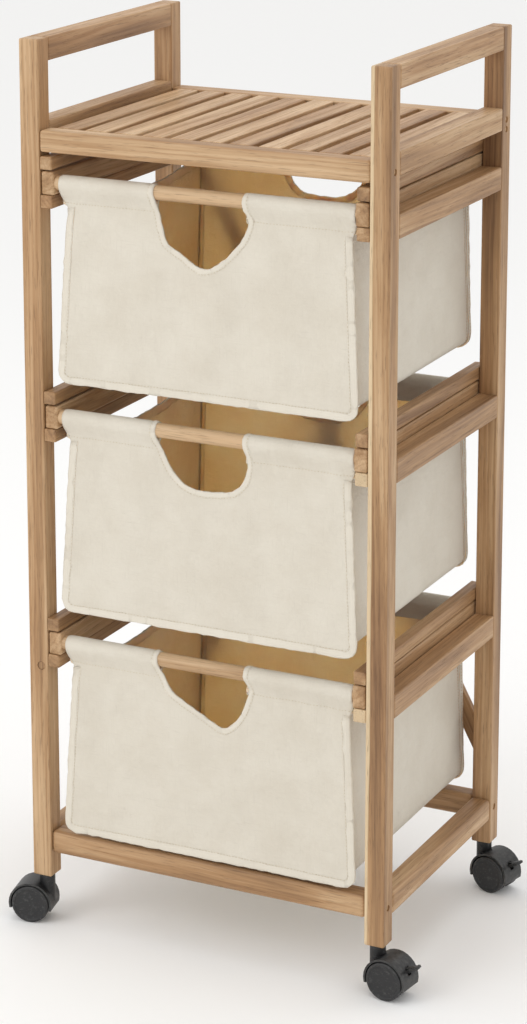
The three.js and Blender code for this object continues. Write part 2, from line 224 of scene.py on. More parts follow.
def wood_material(name, light, middle, dark, cream):
    """Oiled hardwood. "grain" is a point in the log, its z along the fibres; "tone", "sap", "end" shade it."""
    t = Tree(name)
    log = t.attribute("grain")
    tone = t.attribute("tone", "Fac")
    sap = t.attribute("sap", "Fac")
    end = t.attribute("end", "Fac")
    slow = t.noise(log, (14, 14, 2.6), 2)["Color"]
    bent = t.vector("ADD", log, t.scaled(t.vector("SUBTRACT", slow, (0.5, 0.5, 0.5)), (0.016, 0.016, 0)))
    flat = t.scaled(bent, (1, 1, 0))
    radius = t.add("ShaderNodeVectorMath", {0: flat}, operation="LENGTH").outputs["Value"]
    wobble = t.mottle(bent, (90, 90, 5), 2)
    turns = t.plus(t.times(radius, 2 * math.pi / RING_SPACING), t.times(wobble, 5.5))
    rings = t.plus(t.times(t.maths("SINE", turns), 0.5), 0.5)
    ring_lines = t.maths("POWER", rings, 3.0)
    fibre = t.mottle(bent, (420, 420, 6), 4, 0.6)
    bands = t.mottle(bent, (58, 58, 2.0), 4)
    patch = t.mottle(log, (22, 22, 5), 2)
    pores = t.smooth(t.mottle(log, (1100, 1100, 42), 2), 0.58, 0.7)
    depth = t.times(ring_lines, 0.11)
    layers = ((bands, 0.3, 0.74, 0.44), (fibre, 0.3, 0.75, 0.2), (patch, 0.35, 0.7, 0.2))
    for layer, low, high, amount in layers:
        depth = t.plus(depth, t.times(t.smooth(layer, low, high), amount))
    depth = t.plus(depth, t.maths("SUBTRACT", tone, 0.5))
    colour = t.ramp(depth, [(0.0, light), (0.46, middle), (1.0, dark)])
    hue = t.mottle(bent, (50, 50, 1.3), 1)
    redder = t.mix(1.0, colour, (1.0, 0.9, 0.82, 1), "MULTIPLY")
    colour = t.mix(t.smooth(hue, 0.45, 0.75, 0, 0.4), colour, redder)
    edge = t.plus(sap, t.times(t.maths("SUBTRACT", bands, 0.5), 0.006))
    sapwood = t.mix(t.times(fibre, 0.35), (*cream, 1), colour)
    colour = t.mix(t.smooth(edge, -0.0006, 0.0009), colour, sapwood)
    colour = t.mix(t.times(pores, 0.36), colour, toned(dark, 0.42))
    colour = t.mix(t.times(end, 0.14), colour, toned(middle, 0.62))
    relief = t.maths("SUBTRACT", t.times(fibre, 0.6), t.times(pores, 0.7))
    rough = t.smooth(t.plus(fibre, t.times(pores, 0.3)), 0.2, 0.9, 0.4, 0.62)
    relief = t.bump(relief, 0.00035, 0.55)
    t.finish(colour, rough, relief, Specular_IOR_Level=0.42, Coat_Weight=0.05, Coat_Roughness=0.4)
    return t.material


def canvas_material(name, colour, shade, through=0.0):
    """Unbleached canvas, a fine plain weave with slubs. "cloth" is each point's place on the flat cut."""
    t = Tree(name)
    place = t.attribute("cloth")
    split = t.add("ShaderNodeSeparateXYZ", {0: place}).outputs
    drift = t.noise(place, (130, 130, 130), 1)["Color"]
    drift = t.add("ShaderNodeSeparateColor", {0: drift}).outputs
    threads = 2 * math.pi / THREAD_PITCH

    def yarn(axis, wander):
        angle = t.plus(t.times(split[axis], threads), t.times(drift[wander], 5.0))
        return t.plus(t.times(t.maths("SINE", angle), 0.5), 0.5)

    weave = t.maths("MAXIMUM", yarn(0, 0), yarn(1, 1))
    slub_x = t.mottle(place, (900, 40, 40), 2)
    slub_y = t.mottle(place, (40, 900, 40), 2)
    slub = t.maths("MAXIMUM", slub_x, slub_y)
    cloud = t.mottle(place, (16, 16, 16), 4, 0.6)
    fine = t.mottle(place, (420, 420, 420), 3)
    base = t.mix(t.smooth(cloud, 0.3, 0.72), (*colour, 1), (*shade, 1))
    base = t.mix(t.smooth(slub, 0.55, 0.8, 0, 0.3), base, toned(shade, 0.86))
    base = t.mix(t.smooth(fine, 0.5, 0.8, 0, 0.22), base, toned(colour, 1.05))
    base = t.mix(t.smooth(weave, 0.1, 0.9, 0.13, 0), base, toned(shade, 0.7))
    # The hems are drawn a little paler than the rest of the cloth.
    paler_hem = t.attribute("paler_edge", "Fac")
    base = t.mix(t.times(paler_hem, 0.4), base, toned(colour, 1.06))
    crumple = t.mottle(place, (75, 75, 75), 5, 0.6)
    broad = t.mottle(place, (17, 13, 15), 3, 0.5)
    normal = t.bump(crumple, 0.0024, 0.7, t.bump(broad, 0.007, 0.8))
    height = t.plus(weave, t.times(slub, 1.3))
    t.finish(base, 0.92, t.bump(height, 0.00022, 0.6, normal), Specular_IOR_Level=0.12, Sheen_Weight=0.1,
             Sheen_Roughness=0.6, Subsurface_Weight=through, Subsurface_Scale=0.0055)
    t.shader.inputs["Subsurface Radius"].default_value = (1.0, 0.8, 0.6)
    return t.material


def thread_material(name, colour):
    t = Tree(name)
    at = t.add("ShaderNodeTexCoord").outputs["Object"]
    twist = t.mottle(at, (2500, 2500, 2500), 2)
    base = t.mix(t.smooth(twist, 0.3, 0.8), (*colour, 1), toned(colour, 0.72))
    t.finish(base, 0.75, t.bump(twist, 0.0001, 0.5), Specular_IOR_Level=0.2)
    return t.material


def plastic_material(name, colour, rough, scuffs):
    """Moulded black nylon: fine spark-eroded grain, paler dusty scuffs, slight gloss changes, and edges made
    paler by pointiness, partly scuffing and partly a painted highlight.
    """
    t = Tree(name)
    at = t.add("ShaderNodeTexCoord").outputs["Object"]
    grain = t.mottle(at, (2600, 2600, 2600), 2)
    dust = t.mottle(at, (190, 190, 190), 5, 0.65)
    scratch = t.mottle(at, (160, 1500, 900), 2)
    base = t.mix(t.smooth(dust, 0.5, 0.78, 0, scuffs), (*colour, 1), (0.12, 0.118, 0.115, 1))
    base = t.mix(t.smooth(scratch, 0.62, 0.74, 0, scuffs * 0.6), base, (0.16, 0.158, 0.152, 1))
    # Paler edges: partly dusty scuffing, partly a painted highlight standing in for the light caught along the
    # rims.
    edge = t.smooth(t.add("ShaderNodeNewGeometry").outputs["Pointiness"], 0.515, 0.6, 0, 0.75)
    paler_edge = t.times(edge, t.smooth(dust, 0.35, 0.6, 0.25, 1))
    base = t.mix(paler_edge, base, (0.13, 0.128, 0.124, 1))
    roughness = t.smooth(dust, 0.3, 0.75, rough - 0.07, rough + 0.14)
    t.finish(base, roughness, t.bump(grain, 0.00007, 0.6), Specular_IOR_Level=0.45)
    return t.material


def steel_material(name, colour, rough):
    t = Tree(name)
    at = t.add("ShaderNodeTexCoord").outputs["Object"]
    turned = t.mottle(at, (1800, 1800, 300), 3)
    spots = t.mottle(at, (260, 260, 260), 3)
    base = t.mix(t.smooth(spots, 0.45, 0.8, 0, 0.5), (*colour, 1), toned(colour, 0.6))
    t.finish(base, t.smooth(turned, 0.2, 0.8, rough - 0.06, rough + 0.1), t.bump(turned, 0.00005, 0.4))
    t.shader.inputs["Metallic"].default_value = 1.0
    return t.material


LIGHT_WOOD = srgb(214, 182, 143)
MIDDLE_WOOD = srgb(172, 134, 94)
DARK_WOOD = srgb(104, 72, 46)
CREAM_WOOD = srgb(226, 202, 164)


# ---- Meshes ----
def link(name, data, material, body):
    piece = bpy.data.objects.new(name, data)
    scene.collection.objects.link(piece)
    if material:
        data.materials.append(material)
    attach(piece, body)
    return piece


def put_floats(data, name, values):
    attribute = data.attributes.new(name, "FLOAT", "POINT")
    attribute.data.foreach_set("value", np.asarray(values, np.float32))


def put_vectors(data, name, values):
    attribute = data.attributes.new(name, "FLOAT_VECTOR", "POINT")
    attribute.data.foreach_set("vector", np.asarray(values, np.float32).ravel())


def vectors_of(items, name):
    """A vector property of every item, one in each row."""
    values = np.zeros(len(items) * 3, np.float32)
    items.foreach_get(name, values)
    return values.reshape(-1, 3)


def points_of(data):
    return vectors_of(data.vertices, "co").astype(float)


def middle_height(node):
    low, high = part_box(node)
    return (low.z + high.z) / 2


AXES = {"x": 0, "y": 1, "z": 2}
SHARP = math.radians(38)
EASED = 0.0016
SOFT = 0.0045


def add_grain(data, axis, draw, tone, sap=None, turned=None):
    """Gives a timber's mesh its place in a log. sap is (direction, distance), with cream wood beyond that plane.
    turned holds the timber's own axes, one in each row, where they aren't those of the frame."""
    co = points_of(data)
    local = co - (co.min(0) + co.max(0)) / 2
    if turned is not None:
        local = local @ np.array(turned).T
    along = AXES[axis]
    u, v = [i for i in range(3) if i != along]
    turn = draw.uniform(0, 2 * math.pi)
    reach = draw.uniform(0.02, 0.075)
    spin = draw.uniform(0, 2 * math.pi)
    flat_u = local[:, u] * math.cos(turn) - local[:, v] * math.sin(turn) + reach * math.cos(spin)
    flat_v = local[:, u] * math.sin(turn) + local[:, v] * math.cos(turn) + reach * math.sin(spin)
    slope = draw.uniform(-0.03, 0.03)
    lengthwise = local[:, along] + draw.uniform(-8, 8)
    put_vectors(data, "grain", np.stack([flat_u + slope * local[:, along], flat_v, lengthwise], 1))
    put_floats(data, "tone", np.full(len(co), tone + draw.uniform(-0.03, 0.03)))
    if sap is None:
        put_floats(data, "sap", np.full(len(co), -1.0))
    else:
        direction, distance = sap
        put_floats(data, "sap", local @ np.array(direction) - distance)
    half = np.abs(local[:, along]).max()
    put_floats(data, "end", (np.abs(local[:, along]) > half - 0.0004).astype(float))


def bevel(mesh, edges, width, segments, clamp=False):
    bmesh.ops.bevel(mesh, geom=edges, offset=width, segments=segments, profile=0.5, affect="EDGES",
                    clamp_overlap=clamp)


def rounded_box(low, high, radius):
    """A box with rounded edges."""
    low, high = Vector(low), Vector(high)
    mesh = bmesh.new()
    bmesh.ops.create_cube(mesh, size=1)
    size, centre = high - low, (high + low) / 2
    for v in mesh.verts:
        v.co = Vector([v.co[i] * size[i] + centre[i] for i in range(3)])
    bevel(mesh, list(mesh.edges), radius, 3)
    return mesh


def shade(data):
    """Smooth shading that stops at sharp edges."""
    data.shade_smooth()
    data.set_sharp_from_angle(angle=SHARP)


def to_data(mesh, name, smooth=True):
    bmesh.ops.recalc_face_normals(mesh, faces=mesh.faces)
    data = bpy.data.meshes.new(name)
    mesh.to_mesh(data)
    mesh.free()
    if smooth:
        shade(data)
    return data


def cut_ends(mesh, axis, low, high, inset):
    """Adds a loop close to each end, so that the end grain's shade stops there."""
    normal = Vector([1 if i == AXES[axis] else 0 for i in range(3)])
    for at in (low[AXES[axis]] + inset, high[AXES[axis]] - inset):
        geom = list(mesh.verts) + list(mesh.edges) + list(mesh.faces)
        bmesh.ops.bisect_plane(mesh, geom=geom, plane_co=normal * at, plane_no=normal)


def applied(obj, data_name):
    """A mesh of the object with its modifiers applied; the object is removed."""
    graph = bpy.context.evaluated_depsgraph_get()
    ready = obj.evaluated_get(graph)
    data = bpy.data.meshes.new_from_object(ready, preserve_all_data_layers=True, depsgraph=graph)
    data.name = data_name
    bpy.data.objects.remove(obj)
    return data


def facing(centre, outward):
    """The place of a round detail whose own z points outwards from a face."""
    return Matrix.Translation(centre) @ Vector(outward).to_track_quat("Z", "Y").to_matrix().to_4x4()


def bored(data, holes):
    """The timber's mesh with round holes cut in it, each (centre, outward direction, radius, depth)."""
    blank = bpy.data.objects.new("blank", data)
    mesh = bmesh.new()
    for centre, outward, radius, depth in holes:
        bmesh.ops.create_cone(mesh, cap_ends=True, segments=32, radius1=radius, radius2=radius,
                              depth=2 * depth, matrix=facing(centre, outward))
    tool = bpy.data.objects.new("tool", to_data(mesh, "tool", False))
    for obj in (blank, tool):
        scene.collection.objects.link(obj)
    cut = blank.modifiers.new("holes", "BOOLEAN")
    cut.object = tool
    cut.solver = "EXACT"
    bpy.context.view_layer.update()
    made = applied(blank, data.name)
    bpy.data.objects.remove(tool)
    shade(made)
    return made


def flatten_faces(piece):
    """Keeps the shading of broad faces flat next to their rounded edges."""
    weighted = piece.modifiers.new("flat_faces", "WEIGHTED_NORMAL")
    weighted.keep_sharp = True
    weighted.weight = 80


def timber(node, axis, draw, tone, radius=EASED, body="root", sap=None, name=None, box=None, holes=()):
    """A planed timber with eased edges, in the place of a CAD node or in a box of its own."""
    low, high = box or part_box(node)
    mesh = rounded_box(low, high, radius)
    cut_ends(mesh, axis, low, high, radius + 0.0002)
    name = name or node + "_wood"
    data = to_data(mesh, name)
    if holes:
        data = bored(data, holes)
    add_grain(data, axis, draw, tone, sap)
    piece = link(name, data, wood, body)
    flatten_faces(piece)
    if node:
        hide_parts(node)
    return piece


# ---- Start ----
add_camera()
add_floor()
add_light()
wood = wood_material("frame_wood", LIGHT_WOOD, MIDDLE_WOOD, DARK_WOOD, CREAM_WOOD)
canvas = canvas_material("canvas", srgb(224, 217, 203), srgb(217, 209, 194))
# The inside faces get a warmer, peach-tinted copy of the canvas: painted warm bounce light and shade. The real
# cloth is the same cream inside and out.
canvas_inside_painted_bounce = canvas_material("canvas_inside_painted_bounce", srgb(243, 214, 189), srgb(236, 203, 175), 0.9)
thread = thread_material("thread", srgb(220, 207, 180))
gold = thread_material("gold_thread", srgb(196, 150, 96))
black = plastic_material("black_plastic", srgb(24, 24, 25), 0.42, 0.35)
black_wheel = plastic_material("wheel_plastic", srgb(38, 38, 39), 0.5, 0.55)
steel = steel_material("steel", srgb(176, 172, 164), 0.35)


# ---- Frame timbers ----
BOLT_RADIUS = 0.0036
BOLT_SINK = 0.0016
SOCKET_RADIUS = 0.0044
SOCKET_DEPTH = 0.0284
BOLT_OFFSET = 0.0052
KNOT_RADIUS = 0.0047
KNOT_PLACE = (0.0145, 0.299)
PIN_RADIUS = 0.0013
PIN_PLACE = (0.0098, 0.618)
PEG_LENGTH = 0.0024
HOLE_SPARE = 0.0016
POST_TONES = {
    ("front", "left"): 0.42,
    ("front", "right"): 0.62,
    ("back", "left"): 0.5,
    ("back", "right"): 0.66,
}
POST_SAP = ((-1, 0, 0), 0.0068)
RUNNER_SAP = ((0, -1, 0), 0.12)


def marks_of(end, side, low, high):
    """A post's bolt holes, plug and pin: (centre, outward direction, radius, how deep the peg sits)."""
    sx = 1 if side == "right" else -1
    x = high.x if sx > 0 else low.x
    y = (low.y + high.y) / 2
    shelf = middle_height(f"shelf_{end}_rail")
    bottom = middle_height(f"bottom_{end}_rail")
    heights = [shelf + BOLT_OFFSET, shelf - BOLT_OFFSET, bottom] if end == "back" else [shelf, bottom]
    marks = [((x, y, z), (sx, 0, 0), BOLT_RADIUS, BOLT_SINK) for z in heights]
    if (end, side) == ("front", "left"):
        marks.append(((low.x + KNOT_PLACE[0], low.y, KNOT_PLACE[1]), (0, -1, 0), KNOT_RADIUS, 0.0002))
    if (end, side) == ("front", "right"):
        marks.append(((low.x + PIN_PLACE[0], low.y, PIN_PLACE[1]), (0, -1, 0), PIN_RADIUS, -0.0001))
    return marks


def add_pegs(name, marks, draw, tone=0.3):
    """Short round wooden pegs that fill the bolt holes, with a soft edge."""
    mesh = bmesh.new()
    for centre, outward, radius, sunk in marks:
        centre, outward = Vector(centre), Vector(outward)
        middle = sunk + PEG_LENGTH / 2
        thin = radius * 0.96
        made = bmesh.ops.create_cone(mesh, cap_ends=True, segments=32, radius1=thin, radius2=thin,
                                     depth=PEG_LENGTH, matrix=facing(centre - outward * middle, outward))
        edges = dict.fromkeys(e for v in made["verts"] for e in v.link_edges)
        rim = [e for e in edges if len(e.link_faces) == 2 and e.calc_face_angle() > 1]
        rim = [e for e in rim if (e.verts[0].co - centre).dot(outward) > -middle]
        bevel(mesh, rim, radius * 0.16, 2)
    data = to_data(mesh, name)
    add_grain(data, "z", draw, tone)
    link(name, data, wood, "root")


def build_frame():
    draw = random.Random(11)
    for end, _ in ENDS:
        for side in SIDES:
            node = f"post_{end}_{side}"
            low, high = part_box(node)
            marks = marks_of(end, side, low, high)
            holes = [(at, outward, radius, max(sunk, 0) + HOLE_SPARE) for at, outward, radius, sunk in marks]
            foot = ((low.x + high.x) / 2, (low.y + high.y) / 2, low.z)
            holes.append((foot, (0, 0, -1), SOCKET_RADIUS, SOCKET_DEPTH))
            sap = POST_SAP if (end, side) == ("front", "right") else None
            timber(node, "z", draw, POST_TONES[end, side], sap=sap, holes=holes)
            add_pegs(f"{node}_pegs", [m for m in marks if m[2] < KNOT_RADIUS], draw)
            knots = [m for m in marks if m[2] >= KNOT_RADIUS]
            if knots:
                add_pegs(f"{node}_plug", knots, draw, 0.85)
    for side in SIDES:
        timber(f"handle_rail_{side}", "y", draw, 0.55)
        timber(f"shelf_side_rail_{side}", "y", draw, 0.58)
        timber(f"bottom_side_rail_{side}", "y", draw, 0.55, SOFT)
        for level in LEVELS:
            timber(f"side_rail_{level}_{side}", "y", draw, 0.64)
            timber(f"runner_upper_{level}_{side}", "y", draw, 0.6)
            sap = RUNNER_SAP if side == "right" and level != "top" else None
            timber(f"runner_lower_{level}_{side}", "y", draw, 0.6, sap=sap)
    timber("shelf_front_rail", "x", draw, 0.4, 0.0032)
    timber("shelf_back_rail", "x", draw, 0.5)
    timber("bottom_front_rail", "x", draw, 0.56, SOFT)
    timber("bottom_back_rail", "x", draw, 0.62, SOFT)


SLATS = 11
SLAT_GAP = 0.0087
SLAT_THICK = 0.012
BATTEN_AT = 0.068
BATTEN_HALF = 0.01


def build_slats():
    """The shelf's loose slats and the two battens under them, each its own piece of wood."""
    draw = random.Random(29)
    low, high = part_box("shelf_slats")
    top = high.z
    inner_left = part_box("shelf_side_rail_left")[1].x
    inner_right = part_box("shelf_side_rail_right")[0].x
    width = (inner_right - inner_left - (SLATS + 1) * SLAT_GAP) / SLATS
    for i in range(SLATS):
        x = -((SLATS - 1) / 2 - i) * (width + SLAT_GAP)
        box = (
            Vector((x - width / 2, low.y, top - SLAT_THICK)),
            Vector((x + width / 2, high.y, top - draw.uniform(0, 0.0003))),
        )
        tone = draw.uniform(0.32, 0.52)
        timber(None, "y", draw, tone, 0.0013, name=f"slat_{i + 1:02d}", box=box)
    for label, sy in ENDS:
        y = sy * BATTEN_AT
        box = (Vector((low.x, y - BATTEN_HALF, low.z)), Vector((high.x, y + BATTEN_HALF, top - SLAT_THICK)))
        timber(None, "x", draw, 0.6, 0.0012, name=f"batten_{label}", box=box)
    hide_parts("shelf_slats")


# ---- Bags ----
CLOTH = 0.0013
SLEEVE_RADIUS = 0.0092
SLEEVE_DROP = 0.0195
SLEEVE_ANGLE = math.acos(SLEEVE_RADIUS / SLEEVE_DROP)
SLEEVE_LEG = math.sqrt(SLEEVE_DROP**2 - SLEEVE_RADIUS**2)
SLEEVE_ARC = SLEEVE_RADIUS * (2 * math.pi - 2 * SLEEVE_ANGLE)
SLEEVE_ROUND = 2 * SLEEVE_LEG + SLEEVE_ARC
SLEEVE_LEFT = 0.1668
SLEEVE_RIGHT = 0.1706
HEM = 0.004
BAG_DROP = 0.212
SEAM_IN = 0.0075
BACK_FLANGE = 0.0055
CELL = 0.0068
SEAM_DOWN = 26
SEAM_ACROSS = 44
HEM_SECTION = [(1.0, -0.2), (0.84, 0.7), (0.5, 1.0), (0.16, 0.85), (0.0, 0.3)]
STITCH = 0.0036
STITCH_RADIUS = 0.00032
FRONT_HALVES = (0.1625, 0.172)
FRONT_MIDDLE = 0.003
BACK_HALVES = (0.1608, 0.1674)
BACK_SEAM_HALVES = (0.1600, 0.1660)
BACK_MIDDLE = 0.001
BACK_RISE = 0.0045
INNER_LEG = 0.0015
BULGE = 0.003
BULGE_REACH = 0.009
SAG = 0.0022
BRACE_GAP = 0.0024
SETTLE_FRAMES = 20
SETTLE_CAP = 0.012
SETTLE_GRAVITY = 0.06
SETTLE = {
    "quality": 6,
    "mass": 0.1,
    "tension_stiffness": 80,
    "compression_stiffness": 80,
    "shear_stiffness": 40,
    "bending_stiffness": 4.0,
    "air_damping": 4,
    "vertex_group_mass": "pin",
    "shrink_min": -0.005,
}

# Each hand hole's edge on the front panel, from left to right: (x, z) from the dowel's middle.
HOLES = {
    "top": [
        (-0.0560, 0.0), (-0.0545, -0.012), (-0.0520, -0.024), (-0.0475, -0.040), (-0.0425, -0.0525),
        (-0.0270, -0.0610), (-0.0130, -0.0695), (0.0005, -0.0740), (0.0160, -0.0680), (0.0320, -0.0540),
        (0.0450, -0.0375), (0.0500, -0.0220), (0.0475, -0.010), (0.0465, 0.0),
    ],
    "middle": [
        (-0.0560, 0.0), (-0.0540, -0.012), (-0.0480, -0.026), (-0.0400, -0.0405), (-0.0270, -0.0520),
        (-0.0100, -0.0580), (0.0130, -0.0580), (0.0330, -0.0540), (0.0440, -0.0435), (0.0490, -0.0290),
        (0.0480, -0.012), (0.0465, 0.0),
    ],
    "bottom": [
        (-0.0560, 0.0), (-0.0520, -0.014), (-0.0430, -0.0310), (-0.0270, -0.0410), (-0.0085, -0.0510),
        (0.0065, -0.0600), (0.0220, -0.0640), (0.0360, -0.0530), (0.0450, -0.0375), (0.0505, -0.0160),
        (0.0465, 0.0),
    ],
}


def spaced(points, step, count=None):
    """The same line with points about step apart, or with count points for each of its pieces."""
    points = [np.array(p, float) for p in points]
    out = []
    for a, b in zip(points, points[1:]):
        cells = count or max(1, round(float(np.linalg.norm(b - a)) / step))
        out += [a + (b - a) * k / cells for k in range(cells)]
    return [*out, points[-1]]


def curved(points, step):
    """A smooth line through the points (Catmull-Rom), about step between its points."""
    p = [np.array(q, float) for q in points]
    p = [2 * p[0] - p[1], *p, 2 * p[-1] - p[-2]]
    fine = []
    for a, b, c, d in zip(p, p[1:], p[2:], p[3:]):
        for k in range(8):
            t = k / 8
            square = (2 * a - 5 * b + 4 * c - d) * t**2
            cube = (3 * b - a - 3 * c + d) * t**3
            fine.append(0.5 * (2 * b + (c - a) * t + square + cube))
    fine.append(p[-2])
    run = np.concatenate([[0], np.cumsum([np.linalg.norm(b - a) for a, b in zip(fine, fine[1:])])])
    count = max(2, round(run[-1] / step))
    fine = np.array(fine)
    return [np.array([np.interp(run[-1] * k / count, run, fine[:, i]) for i in range(fine.shape[1])])
            for k in range(count + 1)]


def arc(centre, radius, start, stop, count):
    angles = [math.radians(start + (stop - start) * k / count) for k in range(count + 1)]
    return [(centre[0] + radius * math.cos(a), centre[1] + radius * math.sin(a)) for a in angles]


def sleeve_s(z):
    """Distance along a panel from the sleeve's inner stitching to the height z on its outer face."""
    if z <= -SLEEVE_DROP:
        return SLEEVE_ROUND - SLEEVE_DROP - z
    low = -SLEEVE_RADIUS * math.cos(SLEEVE_ANGLE)
    if z <= low:
        return SLEEVE_ROUND - SLEEVE_LEG * (z + SLEEVE_DROP) / (low + SLEEVE_DROP)
    turned = math.asin(z / SLEEVE_RADIUS) + math.pi / 2 - SLEEVE_ANGLE
    return SLEEVE_ROUND - SLEEVE_LEG - SLEEVE_RADIUS * turned


def fold(s, lean):
    """(outwards, z) from the dowel's middle of a point s along a panel's cut: up behind the dowel, over it and
    down, with a slight bulge below the stitching."""
    if s < 0:
        return -INNER_LEG, -SLEEVE_DROP + s
    if s > SLEEVE_ROUND:
        down = s - SLEEVE_ROUND
        return lean * down / BAG_DROP + BULGE * (1 - math.exp(-down / BULGE_REACH)), -SLEEVE_DROP - down
    turned = -math.pi / 2 - SLEEVE_ANGLE
    inner = SLEEVE_RADIUS * math.cos(turned), SLEEVE_RADIUS * math.sin(turned)
    if s < SLEEVE_LEG:
        t = s / SLEEVE_LEG
        return -INNER_LEG + (inner[0] + INNER_LEG) * t, -SLEEVE_DROP + (inner[1] + SLEEVE_DROP) * t
    if s < SLEEVE_LEG + SLEEVE_ARC:
        a = turned - (s - SLEEVE_LEG) / SLEEVE_RADIUS
        return SLEEVE_RADIUS * math.cos(a), SLEEVE_RADIUS * math.sin(a)
    t = (s - SLEEVE_LEG - SLEEVE_ARC) / SLEEVE_LEG
    return -inner[0] * (1 - t), inner[1] + (-SLEEVE_DROP - inner[1]) * t


def inside(points, polygon):
    x, y = points[:, 0], points[:, 1]
    hit = np.zeros(len(points), bool)
    for (ax, ay), (bx, by) in zip(polygon, np.roll(polygon, -1, axis=0)):
        if ay == by:
            continue
        hit ^= ((ay > y) != (by > y)) & (x < (bx - ax) * (y - ay) / (by - ay) + ax)
    return hit


def area_of(polygon):
    x, y = np.array(polygon).T
    return abs(float(x @ np.roll(y, -1) - y @ np.roll(x, -1))) / 2


def gap_to(points, line):
    best = np.full(len(points), 1e9)
    for a, b in zip(line, line[1:]):
        d = b - a
        t = np.clip(((points - a) @ d) / max(d @ d, 1e-12), 0, 1)
        best = np.minimum(best, np.linalg.norm(points - (a + t[:, None] * d), axis=1))
    return best


def cut_panel(outline, seam, step):
    """Triangles that fill a flat outline and keep the seam: (points, triangles, seam's points)."""
    polygon = np.array(outline)
    low, high = polygon.min(0), polygon.max(0)
    grid = []
    row, y = 0, low[1] + step * 0.5
    while y < high[1]:
        x = low[0] + step * (0.25 if row % 2 else 0.75)
        while x < high[0]:
            grid.append((x, y))
            x += step
        y += step * (0.62 if y < SLEEVE_ROUND + 0.006 else 0.866)
        row += 1
    grid = np.array(grid)
    grid = grid[inside(grid, polygon)]
    grid = grid[gap_to(grid, np.vstack([polygon, polygon[:1]])) > step * 0.42]
    grid = grid[gap_to(grid, np.array(seam)) > step * 0.42]
    points = [Vector(p) for p in [*outline, *seam, *grid]]
    count, first = len(outline), len(outline)
    edges = [(i, (i + 1) % count) for i in range(count)]
    edges += [(first + i, first + i + 1) for i in range(len(seam) - 1)]
    made, _, faces, sources, _, _ = geometry.delaunay_2d_cdt(points, edges, [], 1, 1e-6)
    where = {}
    for index, group in enumerate(sources):
        for source in group:
            where[source] = index
    return (
        np.array([list(v) for v in made]),
        [tuple(f) for f in faces],
        [where[first + i] for i in range(len(seam))],
    )


def seam_line(top, low, floor, corner, middle):
    """The U along which the side cloth is sewn, as its left half and its right half."""
    left = [(middle - top, -SLEEVE_DROP - 0.0015), (middle - low, floor + corner)]
    bend = arc((middle - low + corner, floor + corner), corner, 180, 270, 3)
    half = left + bend[1:]
    other = [(2 * middle - x, z) for x, z in reversed(half)]
    return half, other


def u_points(half, other):
    """The seam's points: down one side, round the corner, along the floor, and up again."""
    down = spaced(half[:2], CELL, SEAM_DOWN)
    bend = [np.array(p) for p in half[2:-1]]
    floor = spaced([half[-1], other[0]], CELL, SEAM_ACROSS)
    back = [np.array(p) for p in other[1:-2]]
    up = spaced(other[-2:], CELL, SEAM_DOWN)
    return [*down, *bend, *floor, *back, *up]


